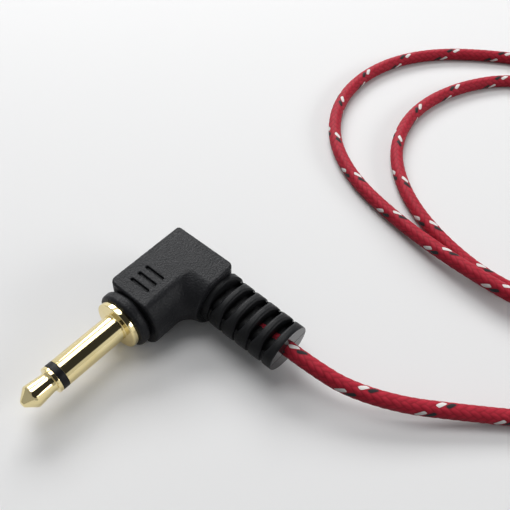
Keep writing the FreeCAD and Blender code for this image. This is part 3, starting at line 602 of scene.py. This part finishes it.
def make_relief_mesh(material):
    """The strain relief as a smooth skin: ribs, slots that end on the sides, and a glossy
    flat end with the cord's hole."""
    angles = [2 * math.pi * (index + 0.5) / RELIEF_AROUND for index in range(RELIEF_AROUND)]
    rings = [[relief_point(station, angle) for angle in angles] for station in relief_stations()]
    rim = rings[-1]
    for share in (0.985, 0.7):
        rings.append([(CORD_LINE + (x - CORD_LINE) * share, -RELIEF_END, z * share)
                      for x, y, z in rim])
    for along in (RELIEF_END, RELIEF_END - CORD_HOLE_DEPTH):
        rings.append([(CORD_LINE + CORD_HOLE_RADIUS * math.cos(angle), -along,
                       CORD_HOLE_RADIUS * math.sin(angle)) for angle in angles])
    points = [(x * MM, y * MM, z * MM) for ring in rings for x, y, z in ring]
    mesh = tube_mesh("relief_skin", points, RELIEF_AROUND)
    finish_mesh(mesh, material, 40.0)
    mesh.materials.append(make_relief_end())
    flat_end = -(RELIEF_END - END_EDGE) * MM
    for polygon in mesh.polygons:
        polygon.material_index = int(polygon.center.y < flat_end)
    return mesh


# ---------------------------------------------------------------- the turned contacts

def rounded_outline(corners, steps=5):
    """A turned outline from its corners: (along, radius, how far its rounding reaches)."""
    places = [np.array(corner[:2], float) for corner in corners]
    outline = []
    for index, (place, corner) in enumerate(zip(places, corners)):
        rounding = corner[2]
        if rounding == 0.0:
            outline.append(tuple(place))
            continue
        before = places[index - 1] - place
        after = places[index + 1] - place
        start = place + before / np.linalg.norm(before) * rounding
        stop = place + after / np.linalg.norm(after) * rounding
        for step in range(steps + 1):
            share = step / steps
            bend = start * (1 - share) ** 2 + place * 2 * share * (1 - share) + stop * share ** 2
            outline.append(tuple(bend))
    return outline


def make_turned_mesh(name, corners, material):
    """A piece turned around the plug's axis from the corners of its outline."""
    angles = [2 * math.pi * index / CONTACT_AROUND for index in range(CONTACT_AROUND)]
    points = [(along * MM, radius * math.cos(angle) * MM, radius * math.sin(angle) * MM)
              for along, radius in rounded_outline(corners) for angle in angles]
    mesh = tube_mesh(name, points, CONTACT_AROUND)
    finish_mesh(mesh, material, 30.0)
    return mesh


def tip_corners():
    """The tip: nose, cone, waist, neck and collar."""
    front, back = (corner.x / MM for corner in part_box("near_tip_contact"))
    collar = back - COLLAR_LENGTH
    neck = collar - NECK_LENGTH
    head = neck - WAIST_LENGTH
    return [(front, NOSE_CAP_RADIUS, 0.0), (front, NOSE_RADIUS, 0.2),
            (head, HEAD_RADIUS, 0.22), (neck, WAIST_RADIUS, 0.12),
            (collar, NECK_RADIUS, 0.03), (collar, SLEEVE_RADIUS, 0.06),
            (back, SLEEVE_RADIUS, 0.03), (back, TIP_BORE_RADIUS, 0.0)]


def ring_corners():
    """The black ring between the tip and the sleeve."""
    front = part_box("near_tip_contact")[1].x / MM
    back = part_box("near_tip_ring")[0].x / MM + RING_LENGTH
    return [(front, SLEEVE_BORE_RADIUS, 0.0), (front, SLEEVE_RADIUS, 0.03),
            (back, SLEEVE_RADIUS, 0.03), (back, SLEEVE_BORE_RADIUS, 0.0)]


def sleeve_corners():
    """The sleeve and its flange, whose front face is at the plug's origin."""
    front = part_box("near_tip_ring")[0].x / MM + RING_LENGTH
    lip = FLANGE_THICKNESS - FLANGE_LIP_LENGTH
    return [(front, SLEEVE_BORE_RADIUS, 0.0), (front, SLEEVE_RADIUS, 0.04),
            (0.0, SLEEVE_RADIUS, 0.12), (0.0, FLANGE_RADIUS, 0.14),
            (lip, FLANGE_RADIUS, 0.06), (lip, FLANGE_LIP_RADIUS, 0.02),
            (FLANGE_THICKNESS, FLANGE_LIP_RADIUS, 0.02),
            (FLANGE_THICKNESS, FLANGE_BORE_RADIUS, 0.0)]


# ---------------------------------------------------------------- the plugs

def add_piece(name, mesh, side, node):
    """A piece of the near or the far plug, which stands for its CAD node."""
    piece = bpy.data.objects.new(side + "_" + name, mesh)
    if side == "far":
        turn = Matrix.Rotation(math.radians(FAR_PLUG_TURN), 4, "Z")
        piece.matrix_world = Matrix.Translation(Vector(FAR_PLUG) * MM) @ turn
    link(piece)
    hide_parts(side + "_" + node)
    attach(piece, BODY)


def make_plug_skins(materials):
    """The finished surfaces of both plugs. It gives the far plug's pieces and the nodes that
    they stand for."""
    gold = materials["contact_gold"]
    black = materials["insulator_black"]
    skins = [
        ("relief_skin", make_relief_mesh(materials["relief_pvc"]),
         "relief_pvc", "strain_relief"),
        ("tip_skin", make_turned_mesh("tip_skin", tip_corners(), gold),
         "contact_gold", "tip_contact"),
        ("ring_skin", make_turned_mesh("ring_skin", ring_corners(), black),
         "insulator_black", "tip_ring"),
        ("sleeve_skin", make_turned_mesh("sleeve_skin", sleeve_corners(), gold),
         "contact_gold", "sleeve_contact"),
    ]
    for side in ("near", "far"):
        for name, mesh, slot, node in skins:
            add_piece(name, mesh, side, node)
    return (["far_" + name for name, mesh, slot, node in skins],
            ["far_" + node for name, mesh, slot, node in skins])


def dress_nodes(materials):
    """The slots' materials, given to the CAD nodes. The cord's pieces replace the braid's."""
    for part in frame["record"]["subparts"]:
        if part["material_slot"] not in materials:
            continue
        surface = nodes[part["node"]].data.materials
        surface.clear()
        surface.append(materials[part["material_slot"]])


# ---------------------------------------------------------------- stage, light, camera

def make_stage():
    """A plain pale floor. It throws little light back on the object, and past the lamps'
    reach it keeps the backdrop's paleness."""
    material, tree, shader = new_material("floor")
    path = tree.nodes.new("ShaderNodeLightPath").outputs
    seen = math_node(tree, "MAXIMUM", path["Is Camera Ray"], path["Is Glossy Ray"])
    seen = math_node(tree, "MAXIMUM", seen, path["Is Transmission Ray"])
    place = tree.nodes.new("ShaderNodeTexCoord")
    distance = tree.nodes.new("ShaderNodeVectorMath")
    distance.operation = "LENGTH"
    tree.links.new(place.outputs["Object"], distance.inputs[0])
    away = ranged(tree, distance.outputs["Value"], LAMPS_FADE_FROM, LAMPS_FADE_TO, 0.0, 1.0)
    away = math_node(tree, "MULTIPLY", away, seen)
    pale = between(tree, seen, (FLOOR_BOUNCE,) * 3, (FLOOR_LEVEL,) * 3)
    tree.links.new(between(tree, away, pale, (0.02, 0.02, 0.02)), shader.inputs["Base Color"])
    shader.inputs["Emission Color"].default_value = (1.0, 1.0, 1.0, 1.0)
    glow = math_node(tree, "MULTIPLY", away, BACKDROP_LEVEL)
    tree.links.new(glow, shader.inputs["Emission Strength"])
    shader.inputs["Roughness"].default_value = 0.9
    shader.inputs["Specular IOR Level"].default_value = 0.2
    mesh = bpy.data.meshes.new("floor")
    corners = [(x * FLOOR_REACH, y * FLOOR_REACH, TABLE)
               for x, y in ((-1, -1), (1, -1), (1, 1), (-1, 1))]
    mesh.from_pydata(corners, [], [(0, 1, 2, 3)])
    mesh.materials.append(material)
    link(bpy.data.objects.new("floor", mesh))


def room_level(tree):
    """What metal and gloss reflect: a studio with pale walls, a pale ceiling behind the
    object and a dark one in front of it, all dimmer towards the left."""
    x, y, z = separated(tree, "Generated")
    to_back = math_node(tree, "MULTIPLY_ADD", x, -CEILING_SLANT, y)
    ceiling = math_node(tree, "MULTIPLY", ranged(tree, to_back, *CEILING_EDGE, 0.0, 1.0),
                        ranged(tree, x, -0.3, 0.2, *CEILING_LEVELS))
    walls = math_node(tree, "MULTIPLY", ranged(tree, z, *WALL_TOP, 0.0, 1.0),
                      ranged(tree, x, 0.0, 0.3, *WALL_LEVELS))
    pale = math_node(tree, "MAXIMUM", ceiling, walls)
    return math_node(tree, "MAXIMUM", pale, DARK_LEVEL)


def make_world():
    """Even soft light from all sides, the room for reflections, and the backdrop that the
    camera sees."""
    world = bpy.data.worlds.new("studio")
    world.use_nodes = True
    bpy.context.scene.world = world
    tree = world.node_tree
    path = tree.nodes.new("ShaderNodeLightPath").outputs
    seen = math_node(tree, "MAXIMUM", path["Is Glossy Ray"], path["Is Transmission Ray"])
    above_soft = math_node(tree, "SUBTRACT", room_level(tree), SOFT_LEVEL)
    level = math_node(tree, "MULTIPLY_ADD", seen, above_soft, SOFT_LEVEL)
    backdrop = math_node(tree, "MULTIPLY", path["Is Camera Ray"], BACKDROP_LEVEL)
    level = math_node(tree, "MAXIMUM", level, backdrop)
    shade = tree.nodes.new("ShaderNodeCombineColor")
    for socket, tint in zip(shade.inputs, ROOM_TINT):
        tree.links.new(math_node(tree, "MULTIPLY", level, tint), socket)
    background = tree.nodes["Background"]
    background.inputs["Strength"].default_value = 1.0
    tree.links.new(shade.outputs["Color"], background.inputs["Color"])


def make_lamp(name, place, width, depth, power):
    """A soft rectangular lamp that faces the near plug."""
    data = bpy.data.lights.new(name, "AREA")
    data.shape = "RECTANGLE"
    data.size = width
    data.size_y = depth
    data.energy = power
    lamp = bpy.data.objects.new(name, data)
    lamp.location = place
    to_plug = Vector(LIT_MIDDLE) - Vector(place)
    lamp.rotation_euler = to_plug.to_track_quat("-Z", "Y").to_euler()
    link(lamp)


def make_camera():
    """The camera, which has the photograph's place and viewing angle."""
    data = bpy.data.cameras.new("camera")
    data.sensor_width = SENSOR_WIDTH
    data.sensor_fit = "HORIZONTAL"
    data.lens = CAMERA_LENS
    data.clip_start = 0.001
    data.clip_end = 20.0
    camera = link(bpy.data.objects.new("camera", data))
    heading = Matrix.Rotation(math.radians(CAMERA_HEADING - 90.0), 4, "Z")
    tilt = Matrix.Rotation(math.radians(CAMERA_TILT + 90.0), 4, "X")
    roll = Matrix.Rotation(math.radians(CAMERA_ROLL), 4, "Z")
    camera.matrix_world = Matrix.Translation(Vector(CAMERA_PLACE) * MM) @ heading @ tilt @ roll
    bpy.context.scene.camera = camera


bpy.context.scene.view_settings.view_transform = "Standard"
materials = make_materials()
make_camera()
make_world()
for name, lamp in LAMPS.items():
    make_lamp(name, *lamp)
make_stage()
far_pieces, replaced = make_plug_skins(materials)
make_cord()
dress_nodes(materials)
